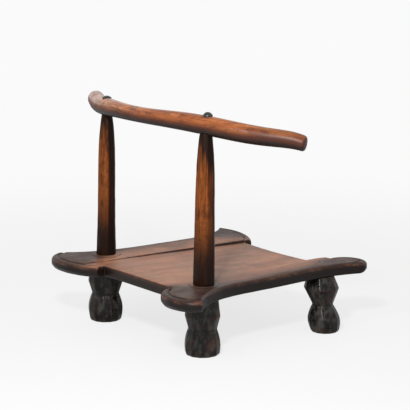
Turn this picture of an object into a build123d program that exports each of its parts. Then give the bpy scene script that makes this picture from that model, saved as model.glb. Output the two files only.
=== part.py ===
import math
import os
from collections import namedtuple

from build123d import *

# A low birthing chair: a hardwood board on four stubby legs, carved with an ear past each
# leg and a raised band down each side. Two posts stand over the rear legs and carry a bent
# bough as the back rail. +Z is up, the sitter faces -Y and has +X on the left hand. The
# origin is on the floor, under the middle of the chair. All sizes are in millimetres.

# Where the legs stand
leg_spacing = 357.0  # between leg centres, side to side
leg_pitch = 332.5  # between leg centres, front to rear
legs_forward = 7.5  # the middle of the four legs lies this far ahead of the origin

# The board
leg_height = 123.0  # floor to the underside of the board
board_thickness = 26.0
hollow_depth_rear = 2.5  # the hollowed floor lies below the side bands by this much
hollow_depth_front = 6.0
rear_edge_out = 61.0  # the rear edge lies behind the rear legs' centres by this much
front_edge_out = 11.0  # the front edge lies ahead of the front legs' centres at the ears
front_edge_hollow = 8.0  # and curves in by this much at the middle
side_round = 8.0  # rounding of the board's sides along the top
under_round = 1.0  # and along the underside
collar_width = 8.0  # the low ring left standing round the foot of each post
collar_height = 1.6

# The board's two sides. Each distance counts from the chair's middle: to the outline at
# its narrowest, and to the band's inner edge beside the rear and the front leg.
Side = namedtuple("Side", "waist band_rear band_front")
sides = {"left": Side(208, 131, 112), "right": Side(207, 137, 129)}

# The ears, one past each leg. Each distance counts from the leg's centre: "out" away
# from the chair's middle, "end" towards the front or the rear. The end of an ear is a
# long arc from its root over the crown to the knuckle, and a tighter one on to the tip.
# "notch" is where the root's side meets the board's edge, and "flare" is the outline beside
# the leg, both counted out.
Ear = namedtuple(
    "Ear",
    "side row notch root_out root_end crown_out crown_end knuckle_out knuckle_end tip_out tip_end flare",
)
ears = {
    "rear_left": Ear(1, 1, -81, -86, 84, -21, 115, 44, 113, 89, 72, 49),
    "rear_right": Ear(-1, 1, -23, -28, 86, 32, 121, 80, 112, 103, 82, 45),
    "front_left": Ear(1, -1, -62, -67, 30, -19, 57, 34, 66, 86, 54, 46),
    "front_right": Ear(-1, -1, -54, -42, 52, -22, 97, 19, 105, 43, 81, 23),
}

# The moulding cut round the end of each ear: a groove, a round bead and an undercut
rim_width = 20.0
groove_width = 3.5
groove_depth = 5.0
bead_width = 6.0  # from the groove to the top of the bead
bead_drop = 1.5  # top of the bead, below the band
bead_fall = 0.8  # from there to half way out to the nose
nose_height = 10.0  # where the edge stands out furthest, below the band
undercut = 6.0  # inwards, at the underside
undercut_height = 8.0
root_run_out = 8.0  # the cut runs on past the root and the tip of an ear
tip_run_out = 32.0

# The legs, each hewn to a round low bulb, a sharp waist and a ridged high bulb: widths
# across the flats, and heights. The head stands a little off its nominal place, by
# "off_x" and "off_y", and the foot off the head, by "splay_x" and "splay_y".
Leg = namedtuple(
    "Leg",
    "foot low low_height waist waist_height high high_height head off_x off_y splay_x splay_y",
)
legs = {
    "rear_left": Leg(69, 75.5, 28, 58.5, 62, 75.5, 89, 67, 1.4, 1.8, 0, 0),
    "rear_right": Leg(71.5, 74, 21, 59.5, 56, 73, 84, 64, 1.3, 1.7, 0, 0),
    "front_left": Leg(64, 71, 26, 51, 60, 73, 92, 64, 6.3, -4.9, 12, -3),
    "front_right": Leg(62, 69.5, 24, 44, 60, 75, 96, 58, 4.5, 5.9, -16.8, -0.5),
}
leg_sides = 12  # flats left by the adze
low_bulb_bands = 6  # bands of flats that round the low bulb, from the foot to the waist
foot_bevel = 3.0  # at the floor, all round
foot_bevel_height = 4.0

# The posts, hewn to eight flats: widths across the flats, with "calf" half way from the
# foot to the middle
Post = namedtuple("Post", "foot calf middle shoulder head")
posts = {"left": Post(42.5, 38.3, 37, 31.2, 22), "right": Post(44, 42.3, 40, 33.5, 25)}
post_sides = 8
post_round = 0.14  # rounding of the corners between flats, as a share of the width
shoulder_drop = 44.0  # where a post starts to narrow to its head, below the head
post_lean = 4.0  # the head stands ahead of the foot by this much

# The back rail, one bent bough
rail_height = 485.0  # floor to the rail's centre line over the posts
rail_reach = 363.0  # from the chair's middle to a tip of the rail
rail_bow = 36.0  # the middle stands behind the posts by this much
rail_rise = 6.5  # and above them by this much
# Its diameter at even stations from the right tip to the left, and how far its centre
# line strays there from the bow, up and back
Station = namedtuple("Station", "girth up back")
rail_stations = (
    Station(32.5, -4, 0),
    Station(39.6, -1.9, 0),
    Station(40.6, 1.2, 0),
    Station(36.7, 0.4, 0),
    Station(33.7, -2.5, 0),
    Station(35.5, -2.7, 0),
    Station(39.5, -3.3, 0),
    Station(40, -2, 4),
    Station(37.5, 0.5, 14),
)
rail_end_round = 6.0
rail_let_in = 5.0  # a post's head goes into the rail's underside by this much

# Joints
post_tenon = 26.0  # diameter at a post's foot, through the board and into the leg
post_tenon_length = 62.0
head_tenon = 16.0  # diameter at a post's head, into the rail
head_tenon_length = 18.0
leg_tenon = 32.0  # diameter at a front leg's head, into the board
leg_tenon_length = 13.0
tenon_play = 0.2  # all round a tenon
end_play = 1.0  # past the end of a tenon or a nail

# Iron studs that nail the rail down on the posts, and spikes that hold the front legs
stud_head = 20.5  # diameter
stud_rim = 2.0  # height of the head's edge
stud_domes = {"left": 6.5, "right": 9.5}  # heights of the heads
stud_spots = {"left": (0, 0), "right": (2, -3)}  # out and back from a post's middle
stud_seat = 2.0  # the flat it sits on, below the top of the rail
stud_shank = 5.0
stud_length = 46.0
spike_head = 12.5
spike_spots = {"left": (0, 0), "right": (-18.5, 10)}  # out and end from a leg's centre
spike_head_thickness = 3.0
spike_shank = 6.0
spike_length = 62.0
iron_play = 0.1  # all round a shank or a head

# Heights and places that follow
band_top = leg_height + board_thickness
collar_top = band_top + collar_height
half_spacing = leg_spacing / 2
leg_line = {1: leg_pitch / 2 - legs_forward, -1: -leg_pitch / 2 - legs_forward}
head_line = leg_line[1] - post_lean
half_rail = len(rail_stations) // 2
station_step = rail_reach / half_rail
stations_to_post = round(half_spacing / station_step)
over_posts = {
    "left": rail_stations[half_rail + stations_to_post],
    "right": rail_stations[half_rail - stations_to_post],
}
post_heads = {
    name: rail_height + over.up - over.girth / 2 + rail_let_in for name, over in over_posts.items()
}
stud_seats = {
    name: rail_height + over.up + over.girth / 2 - stud_seat for name, over in over_posts.items()
}


def from_leg(ear, out, end):
    """The plan point that stands out and endwards of an ear's leg by these distances."""
    return Vector(ear.side * (half_spacing + out), leg_line[ear.row] + ear.row * end)


def rim_line(ear):
    """The outline of an ear's end, as two arcs that meet smoothly."""
    knuckle = from_leg(ear, ear.knuckle_out, ear.knuckle_end)
    sweep_round = ThreePointArc(
        from_leg(ear, ear.root_out, ear.root_end),
        from_leg(ear, ear.crown_out, ear.crown_end),
        knuckle,
        mode=Mode.PRIVATE,
    )
    tip = from_leg(ear, ear.tip_out, ear.tip_end)
    turn_in = TangentArc(knuckle, tip, tangent=sweep_round % 1, mode=Mode.PRIVATE)
    return sweep_round, turn_in


def edge_end(ear):
    """Where the board's front or rear edge meets an ear."""
    return from_leg(ear, ear.notch, rear_edge_out if ear.row == 1 else front_edge_out)


def band_edge(name, length):
    """A band's inner edge this far behind the middle of the legs, as (x, length)."""
    side = sides[name]
    share = 0.5 + length / leg_pitch
    x = side.band_front + (side.band_rear - side.band_front) * share
    return (ears["rear_" + name].side * x, length)


def rail_point(index):
    """The rail's centre at a station, on a shallow bow that droops towards its tips."""
    station = rail_stations[index]
    x = (index - half_rail) * station_step
    share = 1 - (x / half_spacing) ** 2
    return Vector(
        x,
        head_line + rail_bow * share + station.back,
        rail_height + rail_rise * share + station.up,
    )


def leg_middle(corner, height):
    """The plan point of a leg's middle at a height, on its way from the foot to the head."""
    leg = legs[corner]
    head = from_leg(ears[corner], 0, 0) + Vector(leg.off_x, leg.off_y)
    return head + Vector(leg.splay_x, leg.splay_y) * (1 - height / leg_height)


def low_bulb_width(leg, height):
    """A leg's width round its low bulb, which curves in to the foot and to the waist."""
    end, end_height = leg.foot, foot_bevel_height
    if height > leg.low_height:
        end, end_height = leg.waist, leg.waist_height
    turn = math.pi / 2 * (height - leg.low_height) / (end_height - leg.low_height)
    return end + (leg.low - end) * math.cos(turn)


def hewn_section(width, sides, corner_round=0.0):
    """One section of a piece hewn to flats, with its corners worn round."""
    RegularPolygon(width / 2, sides, major_radius=False, rotation=180 / sides)
    if corner_round:
        fillet(vertices(), corner_round * width)


def save(part, name):
    """Names a finished piece and writes it."""
    part.label = name
    export_step(part, f"parts/{name}.step")


os.makedirs("parts", exist_ok=True)
rims = {corner: rim_line(ear) for corner, ear in ears.items()}
post_places = {name: from_leg(ears["rear_" + name], 0, 0) for name in sides}
tenon_places = {name: leg_middle("front_" + name, leg_height) for name in sides}
spike_places = {
    name: from_leg(ears["front_" + name], out, end) for name, (out, end) in spike_spots.items()
}
head_places = {name: place - Vector(0, post_lean) for name, place in post_places.items()}
stud_places = {
    name: from_leg(ears["rear_" + name], out, back - post_lean)
    for name, (out, back) in stud_spots.items()
}

# Sizes of the seats that take one piece in another
collar_radius = max(post.foot for post in posts.values()) / 2 + collar_width
let_in_share = rail_let_in / shoulder_drop
head_widths = [post.head + (post.shoulder - post.head) * let_in_share for post in posts.values()]
head_seat = max(head_widths) / math.cos(math.pi / post_sides) + 2 * tenon_play

# The board
with BuildPart() as seat_board:
    # Its outline: a hollow curve down each side, and an ear's end past each leg
    with BuildSketch(Plane.XY.offset(leg_height)):
        with BuildLine():
            for corner, ear in ears.items():
                for arc in rims[corner]:
                    add(arc)
                Line(rims[corner][0] @ 0, edge_end(ear))
            Line(edge_end(ears["rear_left"]), edge_end(ears["rear_right"]))
            front_middle = (0, leg_line[-1] - front_edge_out + front_edge_hollow)
            ThreePointArc(
                edge_end(ears["front_left"]), front_middle, edge_end(ears["front_right"])
            )
            for name, side in sides.items():
                rear, front = ears["rear_" + name], ears["front_" + name]
                Spline(
                    rims["rear_" + name][1] @ 1,
                    from_leg(rear, rear.flare, 0),
                    (rear.side * side.waist, -legs_forward),
                    from_leg(front, front.flare, 0),
                    rims["front_" + name][1] @ 1,
                )
        make_face()
    extrude(amount=board_thickness)
    side_edges = edges().filter_by(GeomType.BSPLINE).group_by(Axis.Z)
    fillet(side_edges[-1], side_round)
    side_edges = edges().filter_by(GeomType.BSPLINE).group_by(Axis.Z)
    fillet(side_edges[0], under_round)

    # The floor, hollowed between the side bands and deeper towards the front
    slope = math.degrees(math.atan((hollow_depth_front - hollow_depth_rear) / leg_pitch))
    floor_height = band_top - (hollow_depth_rear + hollow_depth_front) / 2
    floor = Plane((0, -legs_forward, floor_height)).rotated((slope, 0, 0))
    with BuildSketch(floor):
        Polygon(
            band_edge("left", leg_pitch),
            band_edge("right", leg_pitch),
            band_edge("right", -leg_pitch),
            band_edge("left", -leg_pitch),
            align=None,
        )
    extrude(amount=board_thickness, mode=Mode.SUBTRACT)

    # The moulding round the end of each ear
    for corner, ear in ears.items():
        sweep_round, turn_in = rims[corner]
        start, finish = sweep_round % 0, turn_in % 1
        with BuildLine():
            lead_in = Line((sweep_round @ 0) - start * root_run_out, sweep_round @ 0)
            add(sweep_round)
            add(turn_in)
            Line(turn_in @ 1, (turn_in @ 1) + finish * tip_run_out)
        over_path = lead_in @ 0 + Vector(0, 0, band_top)
        section = Plane(over_path, x_dir=Vector(0, 0, 1).cross(start), z_dir=start)
        outward = ear.side * ear.row
        groove = -rim_width + groove_width
        with BuildSketch(section):
            with BuildLine():
                Polyline(
                    (outward * groove, -groove_depth),
                    (-outward * rim_width, 0),
                    (-outward * rim_width, groove_depth),
                    (outward * rim_width, groove_depth),
                    (outward * rim_width, -nose_height),
                    (0, -nose_height),
                )
                Spline(
                    (outward * groove, -groove_depth),
                    (outward * (groove + bead_width), -bead_drop),
                    (outward * (groove + bead_width) / 2, -bead_drop - bead_fall),
                    (0, -nose_height),
                )
            make_face()
            with BuildLine():
                Polyline(
                    (0, undercut_height - board_thickness),
                    (-outward * undercut, -board_thickness),
                    (-outward * undercut, -board_thickness - undercut),
                    (outward * rim_width, -board_thickness - undercut),
                    (outward * rim_width, undercut_height - board_thickness),
                    close=True,
                )
            make_face()
        sweep(mode=Mode.SUBTRACT)

    # A low collar round each post's foot
    with BuildSketch(Plane.XY.offset(band_top - collar_height)):
        with Locations(*post_places.values()):
            Circle(collar_radius)
    extrude(amount=2 * collar_height)
    collar_edges = edges().filter_by(GeomType.CIRCLE).group_by(Axis.Z)[-1]
    chamfer(collar_edges, collar_height / 2)

    # Holes for the posts' tenons, the front legs' tenons and the spikes
    with BuildSketch(Plane.XY.offset(leg_height)):
        with Locations(*post_places.values()):
            Circle(post_tenon / 2 + tenon_play)
    extrude(amount=board_thickness + collar_height, mode=Mode.SUBTRACT)
    with BuildSketch(Plane.XY.offset(leg_height)):
        with Locations(*tenon_places.values()):
            Circle(leg_tenon / 2 + tenon_play)
    extrude(amount=leg_tenon_length + end_play, mode=Mode.SUBTRACT)
    with BuildSketch(Plane.XY.offset(leg_height)):
        with Locations(*spike_places.values()):
            Circle(spike_shank / 2 + iron_play)
    extrude(amount=board_thickness, mode=Mode.SUBTRACT)
    with BuildSketch(Plane.XY.offset(band_top)):
        with Locations(*spike_places.values()):
            Circle(spike_head / 2 + iron_play)
    extrude(amount=-spike_head_thickness, mode=Mode.SUBTRACT)
save(seat_board.part, "seat_board")

# The legs. A rear one is bored for its post's tenon, a front one has a tenon of its own.
for corner, size in legs.items():
    row, name = corner.split("_")
    with BuildPart() as leg:
        with BuildSketch(Plane(leg_middle(corner, 0))):
            hewn_section(size.foot - 2 * foot_bevel, leg_sides)
        for band in range(low_bulb_bands + 1):
            rise = (size.waist_height - foot_bevel_height) * band / low_bulb_bands
            height = foot_bevel_height + rise
            with BuildSketch(Plane(leg_middle(corner, height) + Vector(0, 0, height))):
                hewn_section(low_bulb_width(size, height), leg_sides)
        for height, width in ((size.high_height, size.high), (leg_height, size.head)):
            with BuildSketch(Plane(leg_middle(corner, height) + Vector(0, 0, height))):
                hewn_section(width, leg_sides)
        loft(ruled=True)
        if row == "rear":
            with BuildSketch(Plane(post_places[name] + Vector(0, 0, collar_top))):
                Circle(post_tenon / 2 + tenon_play)
            extrude(amount=-post_tenon_length - end_play, mode=Mode.SUBTRACT)
        else:
            with BuildSketch(Plane(tenon_places[name] + Vector(0, 0, leg_height))):
                Circle(leg_tenon / 2)
            extrude(amount=leg_tenon_length)
            with BuildSketch(Plane(spike_places[name] + Vector(0, 0, band_top))):
                Circle(spike_shank / 2 + iron_play)
            extrude(amount=-spike_length - end_play, mode=Mode.SUBTRACT)
    save(leg.part, "leg_" + corner)

# The posts, each one piece with a tenon at both ends
for name, size in posts.items():
    foot = post_places[name]
    post_head = post_heads[name]
    with BuildPart() as post:
        for height, width in (
            (collar_top, size.foot),
            (collar_top + (post_head - collar_top) / 4, size.calf),
            ((collar_top + post_head) / 2, size.middle),
            (post_head - shoulder_drop, size.shoulder),
            (post_head, size.head),
        ):
            lean = post_lean * (height - collar_top) / (post_head - collar_top)
            with BuildSketch(Plane(foot + Vector(0, -lean, height))):
                hewn_section(width, post_sides, post_round)
        loft()
        with BuildSketch(Plane(foot + Vector(0, 0, collar_top))):
            Circle(post_tenon / 2)
        extrude(amount=-post_tenon_length)
        head = foot + Vector(0, -post_lean, post_head)
        with BuildSketch(Plane(head)):
            Circle(head_tenon / 2)
        extrude(amount=head_tenon_length)
        with BuildSketch(Plane(stud_places[name] + Vector(0, 0, stud_seats[name]))):
            Circle(stud_shank / 2 + iron_play)
        extrude(amount=-stud_length - end_play, mode=Mode.SUBTRACT)
    save(post.part, "post_" + name)

# The back rail: round sections at the stations along the bow
rail_centres = [rail_point(index) for index in range(len(rail_stations))]
left_tip = len(rail_stations) - 1
with BuildPart() as back_rail:
    for index, station in enumerate(rail_stations):
        along = rail_centres[min(index + 1, left_tip)] - rail_centres[max(index - 1, 0)]
        upward = along.cross(Vector(0, 1, 0))
        with BuildSketch(Plane(rail_centres[index], x_dir=upward, z_dir=along)):
            Circle(station.girth / 2)
    loft()
    tips = faces().filter_by(GeomType.PLANE).edges()
    fillet(tips, rail_end_round)
    # Let in from below for the posts' heads and tenons, and from above for the studs
    for name, place in head_places.items():
        head = Plane(place + Vector(0, 0, post_heads[name]))
        with BuildSketch(head):
            Circle(head_seat / 2)
        extrude(amount=-rail_height, mode=Mode.SUBTRACT)
        with BuildSketch(head):
            Circle(head_tenon / 2 + tenon_play)
        extrude(amount=head_tenon_length + end_play, mode=Mode.SUBTRACT)
        seat = Plane(stud_places[name] + Vector(0, 0, stud_seats[name]))
        with BuildSketch(seat):
            Circle(stud_head / 2 + iron_play)
        extrude(amount=rail_height, mode=Mode.SUBTRACT)
        with BuildSketch(seat):
            Circle(stud_shank / 2 + iron_play)
        extrude(amount=-stud_length, mode=Mode.SUBTRACT)
save(back_rail.part, "back_rail")

# The iron studs over the posts, each with a domed head, a round shank and a point
for name, dome in stud_domes.items():
    seat = stud_places[name] + Vector(0, 0, stud_seats[name])
    with BuildPart() as stud:
        with BuildSketch(Plane(seat, x_dir=(1, 0, 0), z_dir=(0, -1, 0))):
            with BuildLine():
                Polyline(
                    (0, dome),
                    (0, -stud_length),
                    (stud_shank / 2, -stud_length + 2 * stud_shank),
                    (stud_shank / 2, 0),
                    (stud_head / 2, 0),
                    (stud_head / 2, stud_rim),
                )
                TangentArc((0, dome), (stud_head / 2, stud_rim), tangent=(1, 0))
            make_face()
        revolve(axis=Axis(seat, (0, 0, 1)))
    save(stud.part, "rail_stud_" + name)

# The iron spikes through the bands into the front legs, with flat heads let in flush
for name, place in spike_places.items():
    top = place + Vector(0, 0, band_top)
    with BuildPart() as spike:
        with BuildSketch(Plane(top, x_dir=(1, 0, 0), z_dir=(0, -1, 0))):
            Polygon(
                (0, 0),
                (0, -spike_length),
                (spike_shank / 2, -spike_length + 2 * spike_shank),
                (spike_shank / 2, -spike_head_thickness),
                (spike_head / 2, -spike_head_thickness),
                (spike_head / 2, 0),
                align=None,
            )
        revolve(axis=Axis(top, (0, 0, 1)))
    save(spike.part, "leg_spike_" + name)
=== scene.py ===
"""A low birthing chair: worn carved hardwood and dark iron, on a pale studio floor."""

import math

import bmesh
import bpy
import numpy as np
from bpy.props import FloatProperty, FloatVectorProperty, IntProperty, PointerProperty
from mathutils import Euler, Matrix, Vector, noise
from mathutils.kdtree import KDTree


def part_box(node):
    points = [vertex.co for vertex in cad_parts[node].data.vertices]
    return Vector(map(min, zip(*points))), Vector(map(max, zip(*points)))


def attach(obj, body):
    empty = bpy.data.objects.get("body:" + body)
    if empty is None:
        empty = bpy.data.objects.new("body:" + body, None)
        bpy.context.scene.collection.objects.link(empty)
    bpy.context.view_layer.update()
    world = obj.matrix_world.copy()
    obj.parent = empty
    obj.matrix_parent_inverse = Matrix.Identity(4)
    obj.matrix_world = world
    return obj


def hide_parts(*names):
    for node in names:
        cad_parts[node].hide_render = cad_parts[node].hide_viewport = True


bl_info = {
    "name": "Low Birthing Chair",
    "version": (1, 0, 0),
    "blender": (4, 5, 0),
    "location": "3D View > Sidebar > Chair",
    "description": "Carves and finishes the parts of a low wooden birthing chair",
    "category": "Object",
}

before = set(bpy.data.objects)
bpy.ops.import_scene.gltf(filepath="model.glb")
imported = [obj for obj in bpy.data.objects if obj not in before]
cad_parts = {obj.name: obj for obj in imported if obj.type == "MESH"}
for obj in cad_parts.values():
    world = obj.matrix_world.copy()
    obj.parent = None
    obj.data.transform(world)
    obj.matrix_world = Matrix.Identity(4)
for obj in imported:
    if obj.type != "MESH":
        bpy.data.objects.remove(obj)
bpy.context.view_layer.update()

MM = 0.001

LEGS = ("leg_rear_left", "leg_rear_right", "leg_front_left", "leg_front_right")
POSTS = ("post_left", "post_right")
STUDS = ("rail_stud_left", "rail_stud_right")
SPIKES = ("leg_spike_left", "leg_spike_right")

# Carving: the passes that show what stands proud and what lies in a broad hollow, how near
# a level face points stay untouched, and what counts as the board's side
PROUD_PASSES = 5
HOLLOW_PASSES = 30
LEVEL_MARGIN = 1.5 * MM
JOINT_MARGIN = 25 * MM
SIDE_HEIGHT = 12 * MM
SIDE_STEEPNESS = 0.4

# The rail's middle line comes forward and down by these, times X squared
RAIL_BEND = 1.13
RAIL_DROP = 0.204

# Where the board's finish changes: X of the side bands, reach of the ears, which counts
# less of Y than of X, width of the darkened edge, height over which soot and painted shade
# darken the sides towards the bottom, and reach of the spikes' stain
BANDS = (0.15, 0.21)
EARS = (0.265, 0.325)
EARS_SHARE_OF_Y = 0.6
EDGE = (12 * MM, 44 * MM)
EDGE_BANDS = (0.13, 0.19)
SIDES = (0.127, 0.149)
SPIKE_STAIN = (6 * MM, 11.5 * MM)

# The old stain on the floor: the direction square to it, its shift and its half width
ACROSS_STAIN = (0.788, 0.616, 0)
STAIN_SHIFT = 0.02
STAIN = (4 * MM, 50 * MM)

# Where the posts' finish changes with height, and the direction of their darker side,
# which takes smoke and painted shade away from the lamps
FOOT = (0.25, 0.37)
INNER_HEAD = (0.38, 0.43)
HEAD = (0.42, 0.49)
SIDE_HEAD = (0.44, 0.48)
TOP = (0.478, 0.512)
SHADED_SIDE = (-0.61, -0.79, 0)

# X between the right and the left pieces, and where the rail's right tip darkens
RIGHT_TO_LEFT = (-0.1, 0.1)
RAIL_TIP = (-0.24, -0.34)

# How far blotches make the board's places ragged, and streaks the posts'
RAGGED_BANDS = 60 * MM
RAGGED_STAIN = 90 * MM
RAGGED_EDGE = 16 * MM
RAGGED_HEIGHT = 120 * MM
RAGGED_SIDE = 8 * MM

# Height of a wood's slow swells against its fibres
SWELL = 1.6

# The studio, in metres, and the width of the camera's sensor in millimetres
FLOOR_RADIUS = 16
SHADOW_FADE = (0.5, 2.0)
LAMP_AIM = Vector((0, 0, 0.25))
CLIP_END = 60
SENSOR_WIDTH = 36


def linear(hex_colour):
    """The linear colour of an sRGB hex value such as "#7a4a35"."""
    levels = [int(hex_colour[i : i + 2], 16) / 255 for i in (1, 3, 5)]
    return [v / 12.92 if v <= 0.04045 else ((v + 0.055) / 1.055) ** 2.4 for v in levels]


def colour(name, description, hex_colour):
    """A colour setting with an sRGB default."""
    return FloatVectorProperty(
        name=name,
        description=description,
        subtype="COLOR",
        size=3,
        min=0,
        max=1,
        default=linear(hex_colour),
    )


def length(name, description, metres):
    """A length setting."""
    return FloatProperty(
        name=name, description=description, default=metres, unit="LENGTH", precision=5
    )


def angle(name, description, degrees):
    """An angle setting."""
    return FloatProperty(
        name=name, description=description, default=math.radians(degrees), subtype="ANGLE"
    )


def power(name, description, watts):
    """A lamp's power setting."""
    return FloatProperty(name=name, description=description, default=watts, unit="POWER")


# ---------------------------------------------------------------------------------------
# Settings
# ---------------------------------------------------------------------------------------


class CarvingSettings(bpy.types.PropertyGroup):
    """How finely each piece is carved, and how far use has worn it."""

    board_grid: length("Board grid", "Spacing of the points on the board", 1.35 * MM)
    stick_grid: length("Stick grid", "Spacing of the points on the posts and the rail", 1.3 * MM)
    leg_grid: length("Leg grid", "Spacing of the points on a leg", 1.1 * MM)
    board_faces: IntProperty(
        name="Board faces", description="Triangles the board keeps", default=190000
    )
    hew_depth: length("Hew depth", "Depth of the adze's and knife's uneven cuts", 0.7 * MM)
    hew_span: length("Hew span", "Length of one such cut", 22 * MM)
    worn_step: length("Worn step", "Rounding at which an arris counts as fully worn", 0.3 * MM)
    # Hollows this deep are painted fully dark, with soot and painted shade
    hollow_step: length("Dirt step", "Depth at which a broad hollow is full of dirt", 0.6 * MM)
    softening: IntProperty(
        name="Softening", description="Passes that soften the carving", default=4
    )


class SeatColours(bpy.types.PropertyGroup):
    """The board's colours."""

    heart: colour("Heartwood", "The wood between the darker bands of its figure", "#b37a5c")
    figure: colour("Figure", "The darker bands of the figure", "#74412b")
    bloom: colour("Bloom", "The grey film of dust and dried oil on the top", "#957f70")
    stain: colour("Stain", "The old stain across the floor", "#5e5048")
    rim: colour("Rim", "Wood that hands have darkened round the edge", "#2e1a14")
    # Soot also paints shade low on the sides, underneath and in hollows
    soot: colour("Soot", "The smoke-black sides and underside", "#0c0a09")
    arris: colour("Arris", "Bare wood where hands have worn an edge", "#6e4d3a")
    red: colour("Red wood", "The fresh red wood where the soot has chipped off", "#6b2a1e")


class SootColours(bpy.types.PropertyGroup):
    """The blackened legs' colours."""

    soot: colour("Soot", "The blackened skin", "#0a0908")
    # Olive also stands in for a painted sheen on the black
    olive_and_sheen: colour("Olive", "The greenish sheen of old oil on the black", "#44433d")
    brown: colour("Brown", "Wood that shows where the black has worn thin", "#42261c")


class PostColours(bpy.types.PropertyGroup):
    """The posts' colours."""

    honey: colour("Honey", "The lightest wood, rubbed by hands", "#894e21")
    rust: colour("Rust", "The red-brown of most of the wood", "#733c1b")
    # Umber and soot also paint shade on the posts' side away from the lamps
    umber: colour("Umber", "Dark blotches, streaks and backs", "#3a1b0d")
    soot: colour("Soot", "Smoke-black ends", "#120a07")


class RailColours(bpy.types.PropertyGroup):
    """The rail's colours."""

    honey: colour("Honey", "The lightest wood, rubbed by hands", "#cb8149")
    rust: colour("Rust", "The red-brown of most of the wood", "#93502a")
    umber: colour("Umber", "Dark blotches and streaks", "#4a2415")
    # The rail's dark underside is painted shade, in umber and soot
    soot: colour("Soot", "The smoke-black underside", "#150c09")


class IronColours(bpy.types.PropertyGroup):
    """The iron's colours."""

    scale: colour("Fire scale", "The black skin that forging leaves", "#161514")
    bright: colour("Bright", "Metal rubbed bright on the high spots", "#6d6762")
    rust: colour("Rust", "Brown rust in the hollows", "#3b241a")


class StageSettings(bpy.types.PropertyGroup):
    """The studio: its floor, its light and its camera."""

    floor: colour("Floor", "The pale floor", "#ededed")
    backdrop: FloatProperty(
        name="Backdrop", description="How white the backdrop shows", default=0.956, min=0, max=1
    )
    own_light: FloatProperty(
        name="Own light",
        description="Share of the floor's brightness that shadows leave alone",
        default=0.8,
    )
    sky: FloatProperty(
        name="Sky", description="Strength of the even light from all round", default=0.45
    )
    key: power("Key", "Power of the key lamp", 42)
    side: power("Side", "Power of the soft lamp on the left", 11)
    lens: FloatProperty(name="Lens", description="Focal length in millimetres", default=168.6)
    eye: FloatVectorProperty(
        name="Eye",
        description="Where the camera stands",
        subtype="TRANSLATION",
        default=(-3.2654, 2.5371, 1.1118),
    )
    turn: angle("Turn", "The camera looks this far round from +Y", 232.36)
    dip: angle("Dip", "And this far down", 11.49)
    roll: angle("Roll", "And leans this far", 0.27)


def settings(group):
    """One group of this file's settings."""
    return getattr(bpy.context.scene, group)


# ---------------------------------------------------------------------------------------
# Materials
# ---------------------------------------------------------------------------------------


def add_node(tree, kind, inputs=None, **options):
    """Adds a node with its options. Each input takes a value, another node's output, or
    that node itself, which gives its first output in use."""
    node = tree.nodes.new("ShaderNode" + kind)
    for name, value in options.items():
        setattr(node, name, value)
    for name, value in (inputs or {}).items():
        if isinstance(value, bpy.types.Node):
            value = next(output for output in value.outputs if output.enabled)
        if isinstance(value, bpy.types.NodeSocket):
            tree.links.new(value, node.inputs[name])
        else:
            node.inputs[name].default_value = value
    return node


def opaque(rgb):
    """A colour with full alpha."""
    return (*rgb, 1)


def stepped(tree, *steps):
    """The product of smooth steps. Each is a pattern, the two levels of it between which
    the step runs, and the values at those levels. A share that is ready can stand for one."""
    product = None
    for step in steps:
        if isinstance(step, tuple):
            inputs = dict(enumerate(step))
            step = add_node(tree, "MapRange", inputs, interpolation_type="SMOOTHSTEP")
        if product is not None:
            step = add_node(tree, "Math", {0: product, 1: step}, operation="MULTIPLY")
        product = step
    return product


def greatest(tree, first, *others):
    """The greatest of several shares."""
    for other in others:
        first = add_node(tree, "Math", {0: first, 1: other}, operation="MAXIMUM")
    return first


def layered(tree, ground, coats):
    """A ground colour under coats, from the lowest up. Each coat is its tone and the steps
    that give the share of the surface that it hides."""
    shown = opaque(ground)
    for tone, *steps in coats:
        inputs = {"Factor": stepped(tree, *steps), 6: shown, 7: opaque(tone)}
        shown = add_node(tree, "Mix", inputs, data_type="RGBA", clamp_factor=True)
    return shown


def clouded(tree, place, spans, detail=3.0, roughness=0.55, warp=0.0):
    """Soft noise whose patches measure spans, in metres, along X, Y and Z."""
    scale = [1 / span for span in spans]
    moved = add_node(tree, "Mapping", {"Vector": place, "Scale": scale})
    looks = {"Scale": 1.0, "Detail": detail, "Roughness": roughness, "Distortion": warp}
    return add_node(tree, "TexNoise", {"Vector": moved, **looks})


def new_material(name):
    """A material without nodes, and its tree."""
    material = bpy.data.materials.new(name)
    material.use_nodes = True
    material.node_tree.nodes.clear()
    return material, material.node_tree


def finish_surface(tree, base, roughness, relief, depth, gloss=0.5, metal=0.0):
    """Ends a material with its shader. The relief is a bump of a real depth, and gloss is
    the specular level."""
    bump = add_node(tree, "Bump", {"Height": relief, "Strength": 1.0, "Distance": depth})
    looks = {
        "Base Color": base,
        "Roughness": roughness,
        "Normal": bump,
        "Specular IOR Level": gloss,
        "Metallic": metal,
    }
    shader = add_node(tree, "BsdfPrincipled", looks)
    add_node(tree, "OutputMaterial", {"Surface": shader})


def wood_relief(tree, fibres, blotches):
    """Raised fibres over slow swells, as one height."""
    swell = add_node(tree, "Math", {0: blotches, 1: SWELL}, operation="MULTIPLY")
    return add_node(tree, "Math", {0: fibres, 1: swell}, operation="ADD")


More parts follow.
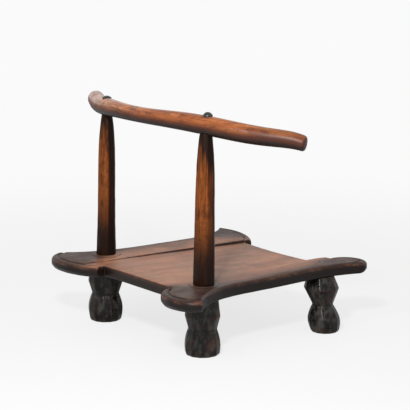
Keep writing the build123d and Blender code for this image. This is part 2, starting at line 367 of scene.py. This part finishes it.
def smoked_board_wood():
    """Iroko-like hardwood, carved, oiled and smoked for years: red-brown and dull on top,
    where grey dust has bitten into the oil, black at the sides, darker towards the bottom and
    in hollows with painted shade, bare on the worn arrises."""
    tones = settings("chair_seat")
    material, tree = new_material("smoked_carved_hardwood")
    place = add_node(tree, "TexCoord").outputs["Object"]
    where = add_node(tree, "SeparateXYZ", {0: place})
    normal = add_node(tree, "NewGeometry").outputs["Normal"]
    up = add_node(tree, "SeparateXYZ", {0: normal}).outputs["Z"]
    proud = add_node(tree, "Attribute", attribute_name="proud").outputs["Fac"]
    hollow = add_node(tree, "Attribute", attribute_name="hollow").outputs["Fac"]
    inset = add_node(tree, "Attribute", attribute_name="inset").outputs["Fac"]

    # The grain runs from front to rear. Fibres are drawn 3 mm wide, coarser than real
    # ones, which are too fine to show. Bands of figure come about every 26 mm.
    fibres = clouded(tree, place, (3 * MM, 90 * MM, 3 * MM), detail=4, roughness=0.65)
    bands = clouded(tree, place, (26 * MM, 420 * MM, 26 * MM), detail=3, warp=0.8)
    blotches = clouded(tree, place, (55 * MM, 90 * MM, 55 * MM), detail=4)
    dust = clouded(tree, place, (30 * MM, 55 * MM, 30 * MM), detail=5, roughness=0.62)
    flecks = clouded(tree, place, (6 * MM, 11 * MM, 6 * MM), detail=3)

    # Distances that the blotches make ragged: aside, towards a corner, from the stain's
    # line and from the board's edge
    aside = add_node(tree, "Math", {0: where.outputs["X"]}, operation="ABSOLUTE")
    along = add_node(tree, "Math", {0: where.outputs["Y"]}, operation="ABSOLUTE")
    handled = add_node(tree, "Math", {0: blotches, 1: RAGGED_BANDS, 2: aside}, operation="MULTIPLY_ADD")
    slanted = {0: along, 1: EARS_SHARE_OF_Y, 2: handled}
    outward = add_node(tree, "Math", slanted, operation="MULTIPLY_ADD")
    across = add_node(tree, "VectorMath", {0: place, 1: ACROSS_STAIN}, operation="DOT_PRODUCT")
    across = add_node(tree, "Math", {0: blotches, 1: RAGGED_STAIN, 2: across}, operation="MULTIPLY_ADD")
    across = add_node(tree, "Math", {0: across, 1: STAIN_SHIFT}, operation="ADD")
    astray = add_node(tree, "Math", {0: across}, operation="ABSOLUTE")
    strayed = add_node(tree, "Math", {0: blotches, 1: RAGGED_EDGE, 2: inset}, operation="MULTIPLY_ADD")

    # Soot covers what faces sideways or down, with painted shade that darkens the sides towards the
    # bottom
    sideways = stepped(tree, (up, 0.4, 0.94, 1, 0))
    low = stepped(tree, sideways, (where.outputs["Z"], *SIDES, 1, 0.45))
    sooty_and_shaded = add_node(tree, "Math", {0: blotches, 1: 0.25, 2: low}, operation="MULTIPLY_ADD")

    coats = [
        (tones.figure, (bands, 0.4, 0.72, 0.05, 0.55)),
        (tones.figure, (fibres, 0.5, 0.8, 0, 0.5)),
        (tones.figure, (blotches, 0.48, 0.7, 0, 0.45)),
        (tones.bloom, (dust, 0.4, 0.7, 0.05, 0.7)),
        # The bands and the ears are darker than the floor that people sit on
        (tones.rim, (handled, *BANDS, 0, 0.5)),
        (tones.rim, (outward, *EARS, 0, 0.85)),
        # An old stain crosses the floor from its front left to its right side
        (tones.stain, (astray, *STAIN, 0.42, 0), (dust, 0.3, 0.55, 0.5, 1)),
        # Hands have darkened the edge, most of all along the sides and round the ears
        (tones.rim, (strayed, *EDGE, 0.9, 0), (aside, *EDGE_BANDS, 0.15, 1)),
        (tones.rim, (sideways, 0.1, 0.8, 0, 0.85)),
        (tones.red, sideways, (dust, 0.55, 0.68, 0, 0.6)),
        (tones.soot, (sooty_and_shaded, 0.35, 0.95, 0, 0.9)),
        # Soot and painted shade darken hollows and grooves, and soot lies on the top in flecks
        (tones.soot, (hollow, 0.3, 1.1, 0, 0.8)),
        (tones.soot, (proud, -0.2, -0.8, 0, 0.85)),
        (tones.soot, (flecks, 0.6, 0.74, 0, 0.42)),
    ]

    # Iron has stained the wood black round the spikes
    for spike in SPIKES:
        middle = (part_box(spike)[0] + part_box(spike)[1]) / 2
        off = add_node(tree, "VectorMath", {0: place, 1: middle}, operation="SUBTRACT")
        level = add_node(tree, "VectorMath", {0: off, 1: (1, 1, 0)}, operation="MULTIPLY")
        reach = add_node(tree, "VectorMath", {0: level}, operation="LENGTH")
        coats.append((tones.soot, (reach, *SPIKE_STAIN, 0.9, 0)))

    # Upper arrises are worn bare, here and there
    upper = (proud, 0.1, 0.8, 0, 0.6), (up, -0.1, 0.35, 0, 1)
    coats.append((tones.arris, *upper, (dust, 0.42, 0.62, 0, 1), (flecks, 0.36, 0.6, 0.25, 1)))

    base = layered(tree, tones.heart, coats)
    dull = stepped(tree, (dust, 0.3, 0.75, 0.4, 0.58))
    roughness = add_node(tree, "Math", {0: sideways, 1: -0.12, 2: dull}, operation="MULTIPLY_ADD")
    relief = wood_relief(tree, fibres, blotches)
    finish_surface(tree, base, roughness, relief, 0.25 * MM, gloss=0.2)
    return material


def blackened_leg_wood():
    """Hardwood hewn with an adze and blackened with smoke and oil: a black satin skin,
    greenish where the oil is thick, which is partly a painted sheen, and brown where it has
    worn thin."""
    tones = settings("chair_soot")
    material, tree = new_material("blackened_hewn_hardwood")
    place = add_node(tree, "TexCoord").outputs["Object"]
    leftward = add_node(tree, "SeparateXYZ", {0: place}).outputs["X"]
    proud = add_node(tree, "Attribute", attribute_name="proud").outputs["Fac"]
    fibres = clouded(tree, place, (2.6 * MM, 2.6 * MM, 50 * MM), detail=4, roughness=0.65)
    patches = clouded(tree, place, (12 * MM, 12 * MM, 22 * MM), detail=4, roughness=0.6)
    drift = clouded(tree, place, (40 * MM, 40 * MM, 50 * MM), detail=3)
    chips = clouded(tree, place, (9 * MM, 9 * MM, 14 * MM), detail=4, roughness=0.6)
    coats = [
        # Olive patches, partly a painted sheen
        (tones.olive_and_sheen, (patches, 0.42, 0.7, 0, 0.65)),
        # The right legs are browner
        (tones.brown, (drift, 0.5, 0.7, 0, 1), (leftward, *RIGHT_TO_LEFT, 0.45, 0.1)),
        (tones.brown, (proud, 0.2, 0.8, 0, 1), (chips, 0.4, 0.6, 0, 1)),
        (tones.brown, (chips, 0.64, 0.72, 0, 0.6)),
        # Soot and painted shade fill the creases
        (tones.soot, (proud, -0.15, -0.7, 0, 0.8)),
    ]
    base = layered(tree, tones.soot, coats)
    roughness = stepped(tree, (patches, 0.35, 0.65, 0.2, 0.42))
    relief = wood_relief(tree, fibres, patches)
    finish_surface(tree, base, roughness, relief, 0.16 * MM, gloss=0.2)
    return material


def rubbed_bough_wood(name, tones, spans, darkened, gloss, smoothest):
    """A peeled bough, scraped smooth and rubbed by hands: orange-brown and glossy, with
    fibres along its length and darker blotches, and smoke-black where no hand reaches, with
    painted shade on the rail's underside and the posts' side away from the lamps.

    spans turns a patch's width and its length along the fibres into X, Y and Z. darkened
    builds the shares of umber and of soot, painted shade among them. smoothest is the
    roughness of polished wood."""
    material, tree = new_material(name)
    place = add_node(tree, "Attribute", attribute_name="grain").outputs["Vector"]
    proud = add_node(tree, "Attribute", attribute_name="proud").outputs["Fac"]
    fibres = clouded(tree, place, spans(2.4 * MM, 60 * MM), detail=4, roughness=0.65)
    streaks = clouded(tree, place, spans(5 * MM, 80 * MM), detail=3, warp=0.4)
    blotches = clouded(tree, place, spans(18 * MM, 42 * MM), detail=4, roughness=0.6)
    mottles = clouded(tree, place, spans(6 * MM, 11 * MM), detail=3, roughness=0.6)
    drift = clouded(tree, place, spans(60 * MM, 150 * MM), detail=2)
    umber, soot = darkened(tree, blotches, streaks)
    coats = [
        (tones.rust, (streaks, 0.36, 0.64, 0, 1)),
        (tones.rust, (drift, 0.4, 0.65, 0, 0.7)),
        (tones.umber, (blotches, 0.5, 0.7, 0, 0.75)),
        (tones.umber, (fibres, 0.5, 0.7, 0, 0.7)),
        (tones.umber, (mottles, 0.5, 0.68, 0, 0.45)),
        # The umber and soot shares include painted shade on the posts' side and the rail's underside
        (tones.umber, umber),
        (tones.soot, soot),
        # Soot and painted shade fill the creases
        (tones.soot, (proud, -0.2, -0.8, 0, 0.7)),
    ]
    base = layered(tree, tones.honey, coats)
    polish = stepped(tree, (blotches, 0.35, 0.7, smoothest, smoothest + 0.1))
    roughness = greatest(tree, polish, stepped(tree, (umber, 0.2, 0.6, smoothest, 0.42)))
    relief = wood_relief(tree, fibres, blotches)
    finish_surface(tree, base, roughness, relief, 0.06 * MM, gloss=gloss)
    return material


def darkened_post(tree, _blotches, streaks):
    """Where a post is umber and where it is smoke-black: black at its foot and its top,
    and darker all the way up on one side, with smoke and painted shade, most of all on the
    left post."""
    place = add_node(tree, "TexCoord").outputs["Object"]
    where = add_node(tree, "SeparateXYZ", {0: place})
    height = where.outputs["Z"]
    ragged = add_node(tree, "Math", {0: streaks, 1: RAGGED_HEIGHT, 2: height}, operation="MULTIPLY_ADD")
    foot = stepped(tree, (ragged, *FOOT, 0.95, 0))
    head = stepped(tree, (ragged, *HEAD, 0, 0.7))
    top = stepped(tree, (ragged, *TOP, 0, 0.92))

    # How far the wood faces the darker side, which gets smoke and painted shade
    normal = add_node(tree, "NewGeometry").outputs["Normal"]
    shaded_facing = add_node(tree, "VectorMath", {0: normal, 1: SHADED_SIDE}, operation="DOT_PRODUCT")
    shaded_facing = add_node(tree, "Math", {0: streaks, 1: 0.5, 2: shaded_facing}, operation="MULTIPLY_ADD")
    for step in ((where.outputs["X"], *RIGHT_TO_LEFT, 0, 0.3), (height, *INNER_HEAD, 0, 0.45)):
        shaded_facing = add_node(tree, "Math", {0: shaded_facing, 1: stepped(tree, step)}, operation="ADD")

    # How far across the post the wood lies, towards the same side
    lie = add_node(tree, "Attribute", attribute_name="grain").outputs["Vector"]
    across = add_node(tree, "VectorMath", {0: lie, 1: SHADED_SIDE}, operation="DOT_PRODUCT")
    across = add_node(tree, "Math", {0: streaks, 1: RAGGED_SIDE, 2: across}, operation="MULTIPLY_ADD")
    shaded = stepped(tree, (across, 4 * MM, 22 * MM, 0, 0.6))
    side = stepped(tree, (across, 5 * MM, 10 * MM, 0, 0.9), (ragged, *SIDE_HEAD, 0, 1))

    umber = greatest(tree, head, shaded, stepped(tree, (shaded_facing, 0.5, 1.05, 0, 1)))
    soot = greatest(tree, foot, stepped(tree, (shaded_facing, 0.8, 1.3, 0, 0.9)), top, side)
    return umber, soot


def darkened_rail(tree, blotches, _streaks):
    """Where the rail is umber and where it is black: both underneath, as painted shade,
    and umber towards its right tip."""
    place = add_node(tree, "TexCoord").outputs["Object"]
    leftward = add_node(tree, "SeparateXYZ", {0: place}).outputs["X"]
    normal = add_node(tree, "NewGeometry").outputs["Normal"]
    up = add_node(tree, "SeparateXYZ", {0: normal}).outputs["Z"]
    under = add_node(tree, "Math", {0: blotches, 1: -0.5, 2: up}, operation="MULTIPLY_ADD")
    tip = stepped(tree, (leftward, *RAIL_TIP, 0, 0.5))
    underside_shade = stepped(tree, (under, 0.5, -0.5, 0, 0.9))
    umber = add_node(tree, "Math", {0: tip, 1: underside_shade}, operation="ADD")
    return umber, stepped(tree, (under, -0.12, -0.85, 0, 0.95))


def forged_iron():
    """Wrought iron, forged and handled: black fire scale, rubbed bright on top, with
    brown rust in the pits that the hammer left."""
    tones = settings("chair_iron")
    material, tree = new_material("forged_iron")
    place = add_node(tree, "TexCoord").outputs["Object"]
    dents = clouded(tree, place, (5 * MM,) * 3, detail=2)
    pits = clouded(tree, place, (1.5 * MM,) * 3, detail=4, roughness=0.7)
    rubbed = stepped(tree, (dents, 0.5, 0.72, 0, 0.35))
    coats = [(tones.bright, rubbed), (tones.rust, (pits, 0.58, 0.75, 0, 0.7))]
    base = layered(tree, tones.scale, coats)
    roughness = stepped(tree, (pits, 0.35, 0.7, 0.3, 0.5))
    relief = add_node(tree, "Math", {0: dents, 1: pits}, operation="ADD")
    finish_surface(tree, base, roughness, relief, 0.2 * MM, metal=rubbed)
    return material


def studio_floor():
    """Matt white board. The camera sees part of its brightness as its own light, so that
    shadows stay pale, and far from the chair it sees nothing else."""
    stage = settings("chair_stage")
    material, tree = new_material("matt_white_floor")
    looks = {"Base Color": opaque(stage.floor), "Roughness": 0.9, "Specular IOR Level": 0.0}
    board = add_node(tree, "BsdfPrincipled", looks)
    glow = add_node(tree, "Emission", {"Color": (1, 1, 1, 1), "Strength": stage.backdrop})
    place = add_node(tree, "TexCoord").outputs["Object"]
    away = add_node(tree, "VectorMath", {0: place}, operation="LENGTH")
    seen = add_node(tree, "LightPath").outputs["Is Camera Ray"]
    glowing = stepped(tree, seen, (away, *SHADOW_FADE, stage.own_light, 1))
    mixed = add_node(tree, "MixShader", {0: glowing, 1: board, 2: glow})
    add_node(tree, "OutputMaterial", {"Surface": mixed})
    return material


# ---------------------------------------------------------------------------------------
# Carving
# ---------------------------------------------------------------------------------------


def applied(piece):
    """Makes a piece's modifiers part of its mesh."""
    depsgraph = bpy.context.evaluated_depsgraph_get()
    mesh = bpy.data.meshes.new_from_object(piece.evaluated_get(depsgraph))
    piece.modifiers.clear()
    piece.data = mesh


def even_copy(node, grid):
    """A copy of a solid with its triangles replaced by an even grid, to be carved."""
    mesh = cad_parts[node].data.copy()
    mesh.materials.clear()
    piece = bpy.data.objects.new("worn_" + node, mesh)
    bpy.context.scene.collection.objects.link(piece)
    shape = bmesh.new()
    shape.from_mesh(mesh)
    bmesh.ops.remove_doubles(shape, verts=shape.verts, dist=0.001 * MM)
    shape.to_mesh(mesh)
    shape.free()
    remesh = piece.modifiers.new("Even grid", "REMESH")
    remesh.mode = "VOXEL"
    remesh.voxel_size = grid
    applied(piece)
    return piece


def smoothed(shape, passes):
    """Relaxes a mesh's points a number of times."""
    for _ in range(passes):
        bmesh.ops.smooth_vert(
            shape, verts=shape.verts, factor=0.5, use_axis_x=True, use_axis_y=True, use_axis_z=True
        )


def worn(piece, node, grain, level=(), uneven=1.0):
    """Rounds a piece's arrises and leaves it slightly uneven, as hand tools and use do.

    Keeps how far each point stands proud of its surroundings as "proud", how deep it
    lies in a broad hollow as "hollow", and where it lies along the grain as "grain". level
    holds the heights that stay untouched, and uneven is the share of the hew depth."""
    carving = settings("chair_carving")
    low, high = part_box(node)
    shape = bmesh.new()
    shape.from_mesh(piece.data)
    proud = shape.verts.layers.float.new("proud")
    hollow = shape.verts.layers.float.new("hollow")
    lie = shape.verts.layers.float_vector.new("grain")
    sharp = [vert.co.copy() for vert in shape.verts]
    outward = [vert.normal.copy() for vert in shape.verts]
    smoothed(shape, carving.softening)
    soft = [vert.co.copy() for vert in shape.verts]
    smoothed(shape, PROUD_PASSES)
    for vert, crisp, out in zip(shape.verts, sharp, outward):
        vert[proud] = (crisp - vert.co).dot(out) / carving.worn_step
    smoothed(shape, HOLLOW_PASSES)
    for vert, kept, out in zip(shape.verts, soft, outward):
        vert[hollow] = (vert.co - kept).dot(out) / carving.hollow_step
        vert[lie] = grain(kept)
        push = out * (noise.noise(kept / carving.hew_span) * carving.hew_depth * uneven / 2)
        if any(abs(kept.z - height) < LEVEL_MARGIN for height in level):
            push = Vector((0, 0, 0))
        # Level faces stay flatter than upright ones, and nothing leaves the solid's box
        push.z *= 0.5
        vert.co = [min(max(v, lo), hi) for v, lo, hi in zip(kept + push, low, high)]
    shape.to_mesh(piece.data)
    shape.free()
    piece.data.polygons.foreach_set("use_smooth", np.ones(len(piece.data.polygons), bool))
    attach(piece, "root")
    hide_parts(node)
    return piece


def mark_inset(board):
    """Keeps how far each point lies inside the board's outline in plan, as "inset"."""
    shape = bmesh.new()
    shape.from_mesh(board.data)
    joints = [((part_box(node)[0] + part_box(node)[1]) / 2).to_2d() for node in LEGS]
    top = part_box("seat_board")[0].z + SIDE_HEIGHT
    side = []
    for vert in shape.verts:
        if abs(vert.normal.z) < SIDE_STEEPNESS and vert.co.z < top:
            if all((vert.co.to_2d() - joint).length > JOINT_MARGIN for joint in joints):
                side.append(Vector((vert.co.x, vert.co.y, 0)))
    tree = KDTree(len(side))
    for index, plan in enumerate(side):
        tree.insert(plan, index)
    tree.balance()
    inset = shape.verts.layers.float.new("inset")
    for vert in shape.verts:
        vert[inset] = tree.find((vert.co.x, vert.co.y, 0))[2]
    shape.to_mesh(board.data)
    shape.free()


def finish_piece(piece, material):
    """Gives a piece its finish."""
    piece.data.materials.append(material)


def straight(place):
    """Grain that follows the piece's own axes."""
    return place


def along_post(node):
    """Grain that runs up a post, from the post's own middle. It is also shifted upwards by
    the middle's X, so that the two posts' patterns differ."""
    middle = (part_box(node)[0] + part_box(node)[1]) / 2
    middle.z = middle.x
    return lambda place: place - middle


def along_rail(place):
    """Grain that follows the rail's bend."""
    forward, down = RAIL_BEND * place.x**2, RAIL_DROP * place.x**2
    return Vector((place.x, place.y + forward, place.z + down))


# ---------------------------------------------------------------------------------------
# Operators
# ---------------------------------------------------------------------------------------


class CHAIR_OT_stage(bpy.types.Operator):
    """Lays the pale floor and sets the studio light and the camera"""

    bl_idname = "chair.stage"
    bl_label = "Set Stage"

    def execute(self, context):
        stage = settings("chair_stage")
        scene = context.scene
        scene.view_settings.view_transform = "Standard"

        shape = bmesh.new()
        bmesh.ops.create_circle(shape, cap_ends=True, segments=96, radius=FLOOR_RADIUS)
        mesh = bpy.data.meshes.new("studio_floor")
        shape.to_mesh(mesh)
        shape.free()
        floor = bpy.data.objects.new("studio_floor", mesh)
        scene.collection.objects.link(floor)
        mesh.materials.append(studio_floor())

        # The even light falls faintly on the chair, and is bright to look at or mirrored
        world = bpy.data.worlds.new("studio")
        world.use_nodes = True
        tree = world.node_tree
        tree.nodes.clear()
        rays = add_node(tree, "LightPath").outputs
        seen = greatest(tree, rays["Is Camera Ray"], rays["Is Glossy Ray"])
        strength = stepped(tree, (seen, 0, 1, stage.sky, stage.backdrop))
        light = add_node(tree, "Background", {"Color": (1, 1, 1, 1), "Strength": strength})
        add_node(tree, "OutputWorld", {"Surface": light})
        scene.world = world

        # The key stands nearer than the camera, over its left shoulder, so that its shadows
        # spread a little, and the side lamp further left
        self.hang("key", stage.key, width=0.24, turn=-8.5, rise=31.7, distance=2.38)
        self.hang("side", stage.side, width=0.34, turn=-30, rise=40, distance=3.0)

        camera = bpy.data.objects.new("camera", bpy.data.cameras.new("camera"))
        camera.data.lens = stage.lens
        camera.data.sensor_width = SENSOR_WIDTH
        camera.data.clip_end = CLIP_END
        scene.collection.objects.link(camera)
        turned = Euler((math.pi / 2 - stage.dip, 0, stage.turn)).to_matrix()
        camera.matrix_world = (turned @ Euler((0, 0, stage.roll)).to_matrix()).to_4x4()
        camera.location = stage.eye
        scene.camera = camera
        return {"FINISHED"}

    def hang(self, name, watts, width, turn, rise, distance):
        """Hangs a square lamp that shines on the chair. turn is in degrees from where the
        camera looks, and rise in degrees above the floor."""
        light = bpy.data.lights.new(name, "AREA")
        light.size = width
        light.energy = watts
        lamp = bpy.data.objects.new(name, light)
        lamp.visible_camera = False
        bpy.context.scene.collection.objects.link(lamp)
        heading = settings("chair_stage").turn + math.radians(turn)
        lamp.rotation_euler = (math.pi / 2 - math.radians(rise), 0, heading)
        lamp.location = LAMP_AIM + lamp.rotation_euler.to_matrix() @ Vector((0, 0, distance))


class CHAIR_OT_board(bpy.types.Operator):
    """Carves the seat board, with worn arrises and an uneven floor"""

    bl_idname = "chair.board"
    bl_label = "Carve Board"

    def execute(self, context):
        carving = settings("chair_carving")
        board = even_copy("seat_board", carving.board_grid)
        worn(board, "seat_board", straight)
        mark_inset(board)
        faces = sum(len(face.vertices) - 2 for face in board.data.polygons)
        thin = board.modifiers.new("Fewer faces", "DECIMATE")
        thin.ratio = min(1, carving.board_faces / faces)
        applied(board)
        finish_piece(board, smoked_board_wood())
        return {"FINISHED"}


class CHAIR_OT_legs(bpy.types.Operator):
    """Hews the four legs"""

    bl_idname = "chair.legs"
    bl_label = "Hew Legs"

    def execute(self, context):
        carving = settings("chair_carving")
        wood = blackened_leg_wood()
        for node in LEGS:
            leg = even_copy(node, carving.leg_grid)
            worn(leg, node, straight, level=(0,))
            finish_piece(leg, wood)
        return {"FINISHED"}


class CHAIR_OT_posts(bpy.types.Operator):
    """Shapes the two posts"""

    bl_idname = "chair.posts"
    bl_label = "Shape Posts"

    def execute(self, context):
        carving = settings("chair_carving")
        wood = rubbed_bough_wood(
            "rubbed_post_wood",
            settings("chair_posts"),
            spans=lambda wide, long: (wide, wide, long),
            darkened=darkened_post,
            gloss=0.08,
            smoothest=0.24,
        )
        for node in POSTS:
            post = even_copy(node, carving.stick_grid)
            worn(post, node, along_post(node))
            finish_piece(post, wood)
        return {"FINISHED"}


class CHAIR_OT_rail(bpy.types.Operator):
    """Shapes the bent back rail"""

    bl_idname = "chair.rail"
    bl_label = "Shape Rail"

    def execute(self, context):
        carving = settings("chair_carving")
        wood = rubbed_bough_wood(
            "rubbed_rail_wood",
            settings("chair_rail"),
            spans=lambda wide, long: (long, wide, wide),
            darkened=darkened_rail,
            gloss=0.26,
            smoothest=0.17,
        )
        rail = even_copy("back_rail", carving.stick_grid)
        worn(rail, "back_rail", along_rail, uneven=0.25)
        finish_piece(rail, wood)
        return {"FINISHED"}


class CHAIR_OT_irons(bpy.types.Operator):
    """Finishes the iron studs and spikes"""

    bl_idname = "chair.irons"
    bl_label = "Forge Irons"

    def execute(self, context):
        iron = forged_iron()
        for node in STUDS + SPIKES:
            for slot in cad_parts[node].material_slots:
                slot.material = iron
        return {"FINISHED"}


class CHAIR_PT_parts(bpy.types.Panel):
    """Lists the chair's parts and settings in the sidebar"""

    bl_idname = "CHAIR_PT_parts"
    bl_label = "Birthing Chair"
    bl_space_type = "VIEW_3D"
    bl_region_type = "UI"
    bl_category = "Chair"

    def draw(self, context):
        for operator in OPERATORS:
            self.layout.operator(operator.bl_idname)
        for name, group in GROUPS.items():
            box = self.layout.box()
            box.label(text=group.__doc__)
            for prop in group.__annotations__:
                box.prop(getattr(context.scene, name), prop)


GROUPS = {
    "chair_carving": CarvingSettings,
    "chair_seat": SeatColours,
    "chair_soot": SootColours,
    "chair_posts": PostColours,
    "chair_rail": RailColours,
    "chair_iron": IronColours,
    "chair_stage": StageSettings,
}
OPERATORS = (
    CHAIR_OT_stage,
    CHAIR_OT_board,
    CHAIR_OT_legs,
    CHAIR_OT_posts,
    CHAIR_OT_rail,
    CHAIR_OT_irons,
)


def register():
    """Registers the settings, the operators and the panel."""
    for name, group in GROUPS.items():
        bpy.utils.register_class(group)
        setattr(bpy.types.Scene, name, PointerProperty(type=group))
    for operator in OPERATORS:
        bpy.utils.register_class(operator)
    bpy.utils.register_class(CHAIR_PT_parts)


def unregister():
    """Takes the panel, the operators and the settings away again."""
    bpy.utils.unregister_class(CHAIR_PT_parts)
    for operator in reversed(OPERATORS):
        bpy.utils.unregister_class(operator)
    for name, group in GROUPS.items():
        delattr(bpy.types.Scene, name)
        bpy.utils.unregister_class(group)


def main():
    """Builds the whole scene."""
    register()
    for operator in OPERATORS:
        family, action = operator.bl_idname.split(".")
        getattr(getattr(bpy.ops, family), action)()


if __name__ == "__main__":
    main()
